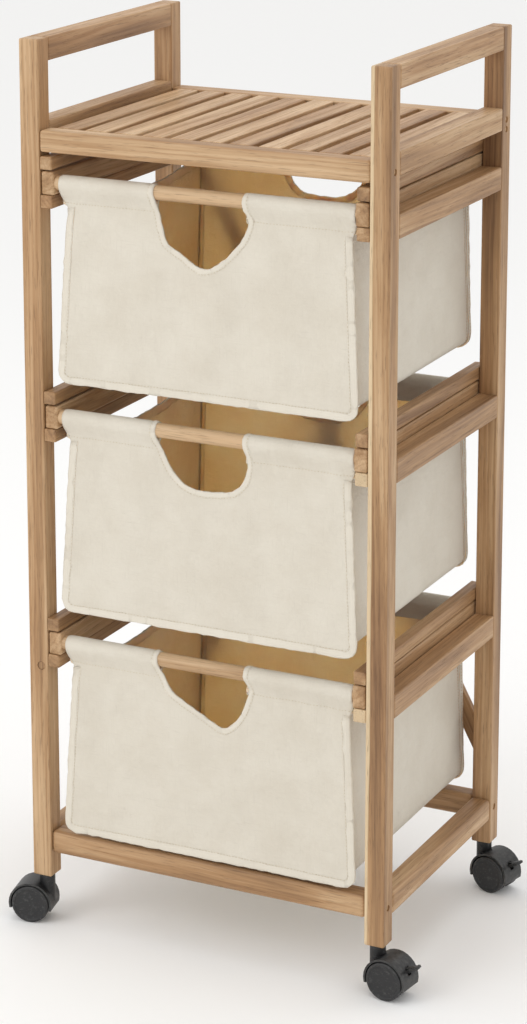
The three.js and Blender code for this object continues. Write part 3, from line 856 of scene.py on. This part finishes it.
class Cloth:
    """Builds one bag's cloth on the flat, folds it round the dowels, and lets it settle."""

    def __init__(self, level, draw):
        low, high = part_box(f"{level}_drawer_dowel_front")
        self.level = level
        self.reach = -(low.y + high.y) / 2
        self.height = middle_height(f"{level}_drawer_dowel_front")
        self.draw = draw
        self.points, self.flat, self.faces, self.pins = [], [], {}, []
        self.make()

    def place(self, x, out, z, sy):
        return (x, sy * (self.reach + out), self.height + z)

    def pucker(self, x, s, sy):
        """Soft gathers along the sleeve's stitching, a few millimetres deep at most."""
        near = math.exp(-((min(abs(s), abs(s - SLEEVE_ROUND)) / 0.011) ** 2))
        wave = noise.noise(Vector((x * 62, self.draw * 5.3, sy)))
        wave += 0.5 * noise.noise(Vector((x * 150, 3.1, sy)))
        return 0.0022 * near * wave

    def add(self, points, flats, faces, patch):
        first = len(self.points)
        self.points += points
        self.flat += flats
        self.faces[patch] = [tuple(first + i for i in f) for f in faces]
        return first

    def outline(self, hole, half_top, half_low, floor, middle):
        """A panel's whole cut in (x, s) from the sleeve's left end, its outer edge and its hole's edge."""
        start, bottom = -HEM, sleeve_s(floor)
        taper = SLEEVE_ROUND - 0.005, SLEEVE_ROUND + 0.006
        corner = 0.013
        left = [(-SLEEVE_LEFT, start), (-SLEEVE_LEFT, taper[0]), (middle - half_top, taper[1])]
        left += [(middle - half_top - 0.4 * (half_low - half_top), SLEEVE_ROUND + 0.07)]
        left += [(middle - half_low, bottom - corner)]
        base = arc((middle - half_low + corner, bottom - corner), corner, 180, 90, 4)[1:]
        base += arc((middle + half_low - corner, bottom - corner), corner, 90, 0, 4)
        right = [(middle + half_top + 0.4 * (half_low - half_top), SLEEVE_ROUND + 0.07)]
        right += [(middle + half_top, taper[1]), (SLEEVE_RIGHT, taper[0]), (SLEEVE_RIGHT, start)]
        edge = curved([(x, sleeve_s(z)) for x, z in hole], CELL * 0.7)
        first, last = edge[0], edge[-1]
        drop_in = spaced([(first[0], start), tuple(first)], CELL * 0.8)[:-1]
        climb_out = spaced([tuple(last), (last[0], start)], CELL * 0.8)[1:]
        hole_edge = [*drop_in, *edge, *climb_out]
        outer = spaced(left + base + right, CELL)
        top_right = spaced([(SLEEVE_RIGHT, start), (last[0], start)], CELL)[1:-1]
        top_left = spaced([(first[0], start), (-SLEEVE_LEFT, start)], CELL)[1:-1]
        return outer + top_right + list(reversed(hole_edge)) + top_left, outer, hole_edge

    def make(self):
        front_top, front_low = (half - SEAM_IN for half in FRONT_HALVES)
        front_seam = seam_line(front_top, front_low, -BAG_DROP + 0.0065, 0.009, FRONT_MIDDLE)
        back_seam = seam_line(*BACK_SEAM_HALVES, -BAG_DROP + 0.006, 0.012, BACK_MIDDLE)
        front_u = u_points(*front_seam)
        back_u = u_points(*back_seam)
        columns = len(front_u)
        panels = {}
        for name, sy, seam, halves, floor, centre in (
            ("front", -1, front_u, FRONT_HALVES, -BAG_DROP, FRONT_MIDDLE),
            ("back", 1, back_u, BACK_HALVES, -BAG_DROP + BACK_RISE, BACK_MIDDLE),
        ):
            hole = HOLES[self.level]
            if name == "back":
                hole = [(-x * 0.98, z * 0.95) for x, z in reversed(HOLES["middle"])]
            outline, outer, hole_edge = self.outline(hole, *halves, floor, centre)
            seam_flat = [(x, sleeve_s(z)) for x, z in seam]
            flat, faces, seam_ids = cut_panel(outline, seam_flat, CELL)
            if sy < 0:
                faces = [f[::-1] for f in faces]
            lean = 0.005 if sy < 0 else 0.003
            points = []
            for x, s in flat:
                out, z = fold(s, lean)
                points.append(self.place(x, out + self.pucker(x, s, sy), z, sy))
            first = self.add(points, [(x, s) for x, s in flat], faces, name)
            self.pins += [first + i for i, (x, s) in enumerate(flat) if s <= SLEEVE_ROUND + 0.001]
            panels[name] = (first, seam_ids, outer, hole_edge, area_of(outline))
        self.panels = panels
        front_ids = [panels["front"][0] + i for i in panels["front"][1]]
        back_ids = [panels["back"][0] + i for i in panels["back"][1]]
        rows = round(2 * self.reach / CELL)
        a = np.array([self.points[i] for i in front_ids])
        b = np.array([self.points[i] for i in back_ids])
        lengths = np.concatenate([[0], np.cumsum(np.linalg.norm(np.diff(b, axis=0), axis=1))])
        self.girth = float(lengths[-1])
        grid = [front_ids]
        points = []
        depth = float(np.mean(np.linalg.norm(b - a, axis=1)))
        first = len(self.points)
        top = a[:, 2].max()
        for j in range(1, rows):
            t = j / rows
            row = []
            for k in range(columns):
                p = a[k] + (b[k] - a[k]) * t
                up = np.clip((p[2] - (top - 0.19)) / 0.19, 0, 1)
                p[2] -= 0.011 * 4 * t * (1 - t) * up**2
                row.append(first + len(points))
                points.append(tuple(p))
            grid.append(row)
        grid.append(back_ids)
        for j in range(1, 3):
            row = []
            for k in range(columns):
                p = b[k].copy()
                upright = lengths[k] < 0.18 or lengths[k] > self.girth - 0.18
                along_floor = 0.17 < lengths[k] < self.girth - 0.17
                side = np.array([np.sign(p[0]) * 0.35 if upright else 0, 1.0, -0.3 if along_floor else 0])
                p += side / np.linalg.norm(side) * BACK_FLANGE * j / 2
                row.append(first + len(points))
                points.append(tuple(p))
            grid.append(row)
        faces = []
        for r0, r1 in zip(grid, grid[1:]):
            faces += [(r0[k], r1[k], r1[k + 1], r0[k + 1]) for k in range(columns - 1)]
        self.points += points
        self.faces["side"] = faces
        self.band_flat = {}
        for j, row in enumerate(grid):
            v = j / rows * depth if j <= rows else depth + BACK_FLANGE * (j - rows) / 2
            for k, index in enumerate(row):
                self.band_flat[index] = (lengths[k] - self.girth / 2, v)
        self.depth = depth

    def settle(self):
        """Hangs the cloth from its sleeves and lets it sag; no point may move more than the cap."""
        data = bpy.data.meshes.new("settling")
        faces = [f for patch in self.faces.values() for f in patch]
        data.from_pydata([tuple(p) for p in self.points], [], faces)
        before = np.array(self.points)
        obj = bpy.data.objects.new("settling", data)
        scene.collection.objects.link(obj)
        pin = obj.vertex_groups.new(name="pin")
        pin.add(self.pins, 1.0, "REPLACE")
        cloth = obj.modifiers.new("cloth", "CLOTH")
        for key, value in SETTLE.items():
            setattr(cloth.settings, key, value)
        cloth.settings.effector_weights.gravity = SETTLE_GRAVITY
        cloth.collision_settings.use_collision = False
        cloth.point_cache.frame_start = 1
        cloth.point_cache.frame_end = SETTLE_FRAMES
        for frame_number in range(1, SETTLE_FRAMES + 1):
            scene.frame_set(frame_number)
        settled = obj.evaluated_get(bpy.context.evaluated_depsgraph_get()).to_mesh()
        after = points_of(settled)
        bpy.data.objects.remove(obj)
        scene.frame_set(1)
        moved = after - before
        size = np.linalg.norm(moved, axis=1)
        capped = moved * (np.minimum(size, SETTLE_CAP) / np.maximum(size, 1e-9))[:, None]
        self.points = self.kept_up(before + capped)

    def kept_up(self, points):
        """The points with the floor's sag eased off and the back held in, clear of the rail and the brace."""
        made = np.array(points)
        floor = self.height - BAG_DROP
        below = np.maximum(floor - made[:, 2], 0)
        made[:, 2] += below - SAG * (1 - np.exp(-below / SAG))
        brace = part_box("back_brace_rising")[0].y
        made[:, 1] = np.minimum(made[:, 1], brace - BRACE_GAP)
        return [tuple(p) for p in made]


class Surface:
    """Finds the place and the normal on a finished piece of cloth of a point on its flat cut."""

    def __init__(self, piece):
        data = piece.data
        self.co = points_of(data)
        self.normals = vectors_of(data.vertices, "normal")
        self.flat = vectors_of(data.attributes["cloth"].data, "vector")
        data.calc_loop_triangles()
        self.triangles = [tuple(t.vertices) for t in data.loop_triangles]
        self.tree = BVHTree.FromPolygons([(u, v, 0) for u, v, _ in self.flat.tolist()], self.triangles)

    def at(self, u, v):
        found, _, index, _ = self.tree.find_nearest((u, v, 0))
        ids = self.triangles[index]
        a, b, c = (self.flat[i, :2].astype(float) for i in ids)
        p = np.array(found[:2])
        e0, e1, e2 = b - a, c - a, p - a
        whole = e0[0] * e1[1] - e0[1] * e1[0]
        if abs(whole) < 1e-14:
            w = (1.0, 0.0, 0.0)
        else:
            wb = (e2[0] * e1[1] - e2[1] * e1[0]) / whole
            wc = (e0[0] * e2[1] - e0[1] * e2[0]) / whole
            w = (1 - wb - wc, wb, wc)
        point = sum(k * self.co[i] for k, i in zip(w, ids))
        normal = sum(k * self.normals[i] for k, i in zip(w, ids))
        return point, normal / max(np.linalg.norm(normal), 1e-9)


def side_of(line, rising):
    """Unit vectors across a flat line. At its middle they point where s grows if rising, else where it falls."""
    line = np.array(line)
    run = np.gradient(line, axis=0)
    run /= np.maximum(np.linalg.norm(run, axis=1), 1e-9)[:, None]
    across = np.stack([-run[:, 1], run[:, 0]], 1)
    return across if (across[len(line) // 2][1] > 0) == rising else -across


def hem_strip(mesh, surface, line, across, width, thick, draw, pucker):
    """A folded hem along a flat line: a soft band on both faces of the cloth, closed round its free edge."""
    section = [(d, h * thick) for d, h in HEM_SECTION]
    section += [(d, -CLOTH - h * thick) for d, h in reversed(HEM_SECTION)]
    rings = []
    seed = draw.uniform(0, 50)
    run = 0.0
    previous = None
    for p, side in zip(np.array(line), across):
        run += 0 if previous is None else float(np.linalg.norm(p - previous))
        previous = p
        edge, normal = surface.at(*p)
        inner, _ = surface.at(*(p + side * width))
        out = edge - inner
        out = out / max(np.linalg.norm(out), 1e-9)
        gathers = noise.noise(Vector((run * 260, seed, 0))) + 0.5 * noise.noise(Vector((run * 90, seed, 9)))
        swell = 1 + pucker * gathers
        drift = 0.0015 * noise.noise(Vector((run * 240, seed, 5)))
        ring = []
        for d, h in section:
            point, n = surface.at(*(p + side * (width * d + drift * d)))
            if d == 0.0:
                point = point + out * (0.0005 + 0.7 * drift)
            lift = (h + CLOTH / 2) * swell - CLOTH / 2
            ring.append(mesh.verts.new(point + n * lift))
        rings.append((ring, run))
    layer = mesh.verts.layers.float_vector["cloth"]
    for ring, at in rings:
        for k, v in enumerate(ring):
            v[layer] = Vector((at, 0.001 * k, seed))
    for (a, _), (b, _) in zip(rings, rings[1:]):
        for k in range(len(a)):
            n = (k + 1) % len(a)
            face = mesh.faces.new((a[k], a[n], b[n], b[k]))
            # The hem's inner faces take the second slot, the peach canvas copy with painted warm bounce light.
            face.material_index = int(k >= len(HEM_SECTION))
    mesh.faces.new(rings[0][0])
    mesh.faces.new(rings[-1][0][::-1])


def stitches(mesh, surface, line, lift, draw):
    """A row of thread stitches along a flat line, each a small spindle half sunk in the cloth."""
    line = np.array(line)
    run = np.concatenate([[0], np.cumsum(np.linalg.norm(np.diff(line, axis=0), axis=1))])
    for i in range(int(run[-1] / STITCH)):
        middle = (i + 0.5) * STITCH + draw.uniform(-0.0002, 0.0002)
        ends = []
        for at in (middle - STITCH * 0.36, middle + STITCH * 0.36):
            q = [float(np.interp(at, run, line[:, k])) for k in (0, 1)]
            ends.append(surface.at(*q))
        (p0, n0), (p1, n1) = ends
        normal = n0 + n1
        normal /= max(np.linalg.norm(normal), 1e-9)
        a, b = p0 + normal * lift, p1 + normal * lift
        along = (b - a) / max(np.linalg.norm(b - a), 1e-9)
        side = np.cross(along, normal)
        ring = []
        for k in range(5):
            angle = 2 * math.pi * k / 5
            out = math.cos(angle) * side + math.sin(angle) * normal
            ring.append(mesh.verts.new((a + b) / 2 + STITCH_RADIUS * out))
        tips = [mesh.verts.new(end - normal * STITCH_RADIUS * 0.8) for end in (a, b)]
        for k in range(5):
            n = (k + 1) % 5
            mesh.faces.new((ring[k], ring[n], tips[1]))
            mesh.faces.new((ring[n], ring[k], tips[0]))


def patch_piece(cloth, patch, offset):
    faces = cloth.faces[patch]
    used = sorted({i for f in faces for i in f})
    where = {u: n for n, u in enumerate(used)}
    flat = cloth.band_flat if patch == "side" else cloth.flat
    name = f"{cloth.level}_bag_{patch}"
    data = bpy.data.meshes.new(name)
    data.from_pydata([cloth.points[u] for u in used], [], [tuple(where[i] for i in f) for f in faces])
    put_vectors(data, "cloth", [(*flat[u], offset) for u in used])
    rough = bpy.data.objects.new("rough", data)
    scene.collection.objects.link(rough)
    smoother = rough.modifiers.new("smooth", "SUBSURF")
    smoother.levels = smoother.render_levels = 1
    bpy.context.view_layer.update()
    final = applied(rough, name)
    final.shade_smooth()
    piece = link(name, final, canvas, f"{cloth.level}_drawer")
    # The second slot holds the peach copy of the canvas for the inside faces: painted warm bounce light and
    # shade.
    final.materials.append(canvas_inside_painted_bounce)
    surface = Surface(piece)
    solid = piece.modifiers.new("thickness", "SOLIDIFY")
    solid.thickness = CLOTH
    solid.offset = -1
    # The inner faces take that second slot, with its painted warm bounce light.
    solid.material_offset = 1
    solid.use_even_offset = False
    return piece, surface


def inner_line(line, across, distance):
    return np.array(line) + np.array(across) * distance


def build_bag(level, index):
    draw = random.Random(70 + index)
    cloth = Cloth(level, index)
    cloth.settle()
    body = f"{level}_drawer"
    hems, seams, bright = bmesh.new(), bmesh.new(), bmesh.new()
    hems.verts.layers.float_vector.new("cloth")
    for patch, sy in ENDS:
        piece, surface = patch_piece(cloth, patch, index * 3.0 + sy)
        _, _, outer, hole, area = cloth.panels[patch]
        # The hole is left out of the cloth, so its hem turns away from it.
        hole_side = side_of(hole, True)
        hem_strip(hems, surface, hole, hole_side, 0.0062, 0.0005, draw, 1.1)
        stitches(seams, surface, inner_line(hole, hole_side, 0.0052), 0.0009, draw)
        keep = [i for i, p in enumerate(outer) if p[1] > SLEEVE_ROUND + 0.004]
        edge, edge_side = [outer[i] for i in keep], side_of(outer, False)[keep]
        hem_strip(hems, surface, edge, edge_side, 0.0078, 0.00036, draw, 0.8)
        stitches(seams, surface, inner_line(edge, edge_side, 0.0082), 0.0003, draw)
        sleeves = ((-SLEEVE_LEFT + 0.002, hole[0][0] - 0.001), (hole[-1][0] + 0.001, SLEEVE_RIGHT - 0.002))
        for low, high in sleeves:
            row = spaced([(low, SLEEVE_ROUND + 0.0005), (high, SLEEVE_ROUND + 0.0005)], 0.004)
            stitches(seams, surface, row, 0.0002, draw)
        if patch == "front":
            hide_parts(f"{level}_bag")
    side, surface = patch_piece(cloth, "side", index * 3.0 + 7)
    half = cloth.girth / 2
    deep = cloth.depth + BACK_FLANGE
    for edge, across in ((-half, 1), (half, -1)):
        line = np.array(spaced([(edge, 0.001), (edge, deep - 0.001)], 0.006))
        sides = np.tile([across, 0.0], (len(line), 1))
        hem_strip(hems, surface, line, sides, 0.011, 0.00045, draw, 0.6)
        stitches(seams, surface, line + sides * 0.0095, 0.0008, draw)
    line = np.array(spaced([(-half + 0.001, deep), (half - 0.001, deep)], 0.006))
    sides = np.tile([0.0, -1.0], (len(line), 1))
    hem_strip(hems, surface, line, sides, 0.0095, 0.00042, draw, 0.8)
    stitches(bright, surface, line + sides * 0.0102, 0.0004, draw)
    stitches(bright, surface, line + sides * 0.0030, 0.0010, draw)
    small = ((hems, "hems", canvas), (seams, "stitching", thread), (bright, "back_stitching", gold))
    for mesh, name, material in small:
        data = to_data(mesh, f"{level}_bag_{name}", False)
        data.shade_smooth()
        if name == "hems":
            # Every hem point is marked to be drawn a little paler.
            put_floats(data, "paler_edge", np.ones(len(data.vertices)))
        link(f"{level}_bag_{name}", data, material, body)
        if name == "hems":
            # The hem's inner faces use the peach canvas copy with painted warm bounce light.
            data.materials.append(canvas_inside_painted_bounce)


# ---- Drawers' bars and dowels ----
def build_drawer_woods():
    draw = random.Random(53)
    for level in LEVELS:
        for side in SIDES:
            timber(f"{level}_drawer_bar_{side}", "y", draw, 0.46, 0.0022, f"{level}_drawer")
        for end, _ in ENDS:
            node = f"{level}_drawer_dowel_{end}"
            low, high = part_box(node)
            centre, radius = (low + high) / 2, (high.z - low.z) / 2
            mesh = bmesh.new()
            turn = Matrix.Translation(centre) @ Matrix.Rotation(math.pi / 2, 4, "Y")
            bmesh.ops.create_cone(mesh, cap_ends=True, segments=48, radius1=radius, radius2=radius,
                                  depth=high.x - low.x, matrix=turn)
            data = to_data(mesh, node + "_wood")
            add_grain(data, "x", draw, 0.2 if end == "front" else 0.4)
            piece = link(node + "_wood", data, wood, f"{level}_drawer")
            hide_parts(node)


# ---- Back brace ----
def eased_mesh(node, width):
    """A CAD node's own shape with its triangles joined into faces and its edges rounded."""
    source = frame["nodes"][node]
    mesh = bmesh.new()
    mesh.from_mesh(source.data)
    mesh.transform(source.matrix_world)
    bmesh.ops.remove_doubles(mesh, verts=mesh.verts, dist=0.00001)
    bmesh.ops.dissolve_limit(mesh, angle_limit=math.radians(0.5), verts=mesh.verts, edges=mesh.edges)
    sharp = [e for e in mesh.edges if len(e.link_faces) == 2 and e.calc_face_angle() > math.radians(35)]
    bevel(mesh, sharp, width, 2, True)
    return mesh


def build_brace():
    draw = random.Random(37)
    for way in ("rising", "falling"):
        node = f"back_brace_{way}"
        data = to_data(eased_mesh(node, 0.0011), node + "_wood")
        co = points_of(data)
        along = np.linalg.svd(co - co.mean(0), full_matrices=False)[2][0]
        across = np.cross(along, (0, 1, 0))
        add_grain(data, "z", draw, 0.62, turned=(across, (0, 1, 0), along))
        piece = link(node + "_wood", data, wood, "root")
        flatten_faces(piece)
        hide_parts(node)


# ---- Castors ----
JOINTS = {joint["name"]: joint for joint in frame["record"]["behaviour"]["joints"]}

# Half of a twin wheel, turned about the axle: (radius, distance from the middle plane), from the hub's inner
# face, over the tread, to the middle of the outer face.
WHEEL_PROFILE = [
    (0.0, 0.0056), (0.0060, 0.0056), (0.0068, 0.0062), (0.0165, 0.0062), (0.0172, 0.0056),
    (0.0190, 0.0055), (0.0200, 0.0058), (0.0207, 0.0066), (0.0210, 0.0078), (0.0210, 0.0108),
    (0.0208, 0.0111), (0.0210, 0.0114), (0.0210, 0.0146), (0.0207, 0.0157), (0.0200, 0.0164),
    (0.0191, 0.0167), (0.0181, 0.0168), (0.0176, 0.0166), (0.0173, 0.0161), (0.0168, 0.0158),
    (0.0120, 0.0158), (0.0060, 0.0159), (0.0, 0.0159),
]
AXLE_PROFILE = [(0.0, -0.0058), (0.0028, -0.0058), (0.0028, 0.0058), (0.0, 0.0058)]
WHEEL_SEGMENTS = 72
LEVER_REACH = 0.019
LEVER_ANGLE = math.radians(25)
RIB_PITCH = 0.0030
RIB_SIZE = (0.0012, 0.0100, 0.0012)
RIB_RISE = 0.0015


def turn_profile(mesh, profile, segments, place, mirror=1):
    """Turns a line of (radius, distance along Y) once round the Y axis."""
    first = set(mesh.verts)
    rings = []
    for k in range(segments):
        angle = 2 * math.pi * k / segments
        rings.append([mesh.verts.new(place @ Vector((r * math.cos(angle), y * mirror, r * math.sin(angle))))
                      for r, y in profile])
    for a, b in zip(rings, rings[1:] + rings[:1]):
        for i in range(len(profile) - 1):
            mesh.faces.new((a[i], b[i], b[i + 1], a[i + 1]))
    fresh = [v for v in mesh.verts if v not in first]
    bmesh.ops.remove_doubles(mesh, verts=fresh, dist=1e-7)


def add_ribs(mesh, place, pivot):
    """Three grip ribs across a brake lever's foot pad."""
    sin, cos = math.sin(LEVER_ANGLE), math.cos(LEVER_ANGLE)
    for k in range(3):
        at = LEVER_REACH - 0.0016 - RIB_PITCH * k
        centre = Vector((pivot[0] + at * cos - RIB_RISE * sin, 0, pivot[1] + at * sin + RIB_RISE * cos))
        rib = Matrix.Translation(centre) @ Matrix.Rotation(-LEVER_ANGLE, 4, "Y")
        rib = rib @ Matrix.Diagonal((*RIB_SIZE, 1))
        made = bmesh.ops.create_cube(mesh, size=1, matrix=place @ rib)
        edges = list(dict.fromkeys(e for v in made["verts"] for e in v.link_edges))
        bevel(mesh, edges, 0.0004, 2)


def build_castors():
    for post in CASTORS:
        swivel = Vector(JOINTS[f"castor_swivel_{post}"]["pos_m"])
        axle = Vector(JOINTS[f"wheel_spin_{post}"]["pos_m"])
        turn = math.atan2(axle.y - swivel.y, axle.x - swivel.x)
        place = Matrix.Translation(axle) @ Matrix.Rotation(turn, 4, "Z")
        node = f"castor_housing_{post}"
        data = to_data(eased_mesh(node, 0.0006), node + "_moulding")
        piece = link(node + "_moulding", data, black, f"castor_{post}")
        flatten_faces(piece)
        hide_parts(node)
        mesh = bmesh.new()
        for mirror in (1, -1):
            turn_profile(mesh, WHEEL_PROFILE, WHEEL_SEGMENTS, place, mirror)
        data = to_data(mesh, f"castor_wheels_{post}_discs")
        piece = link(f"castor_wheels_{post}_discs", data, black_wheel, f"wheels_{post}")
        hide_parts(f"castor_wheels_{post}")
        mesh = bmesh.new()
        turn_profile(mesh, AXLE_PROFILE, 24, place)
        data = to_data(mesh, f"castor_axle_{post}")
        link(f"castor_axle_{post}", data, steel, f"wheels_{post}")
        if f"brake_lever_{post}" in JOINTS:
            node = f"brake_lever_{post}"
            mesh = eased_mesh(node, 0.0005)
            pivot = Vector(JOINTS[node]["pos_m"]) - axle
            out = math.hypot(pivot.x, pivot.y)
            add_ribs(mesh, place, (out, pivot.z))
            data = to_data(mesh, node + "_moulding")
            piece = link(node + "_moulding", data, black, f"brake_{post}")
            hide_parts(node)


# ---- Bolts ----
BOLT_HEAD_PROFILE = [
    (0.0, 0.0024), (0.0020, 0.0023), (0.0035, 0.0018), (0.0044, 0.0010), (0.0048, 0.0), (0.0, 0.0),
]


def add_bolt_heads():
    """The domed head of the bolt that holds the back brace and rail to each back post."""
    for side in SIDES:
        low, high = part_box(f"post_back_{side}")
        height = middle_height("shelf_back_rail") - 0.001
        centre = Vector(((low.x + high.x) / 2, high.y - 0.0002, height))
        mesh = bmesh.new()
        turn_profile(mesh, BOLT_HEAD_PROFILE, 32, Matrix.Translation(centre))
        link(f"bolt_head_{side}", to_data(mesh, f"bolt_head_{side}"), steel, "root")


build_frame()
build_slats()
build_brace()
build_castors()
add_bolt_heads()
build_drawer_woods()
for number, level_name in enumerate(LEVELS):
    build_bag(level_name, number)
